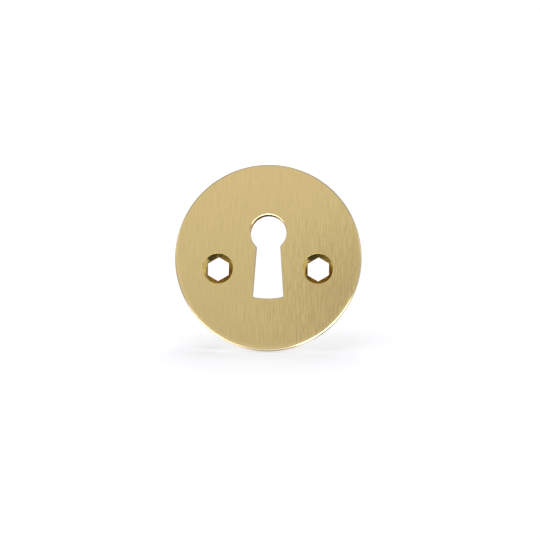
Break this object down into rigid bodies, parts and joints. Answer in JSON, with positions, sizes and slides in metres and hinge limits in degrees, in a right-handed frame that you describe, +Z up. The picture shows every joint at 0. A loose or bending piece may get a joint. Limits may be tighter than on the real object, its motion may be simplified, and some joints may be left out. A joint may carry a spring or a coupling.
{
  "type": "keyhole escutcheon",
  "caption": "Flat round brass plate with a keyhole that widens downwards and a countersunk hexagonal screw hole on each side.",
  "frame": {"origin": "middle of the disc on the door's surface, which is the plane of the plate's back", "axes": "+Z up, towards the round end of the keyhole; +Y into the door, so the front looks to -Y; +X to the right as seen from the front"},
  "size_m": [0.05, 0.003, 0.05],
  "materials": {
    "satin_brass": "brushed satin with the grain upright, broken edges brighter"
  },
  "bodies": {
    "root": {"escutcheon_plate": "satin_brass"}
  },
  "joints": []
}
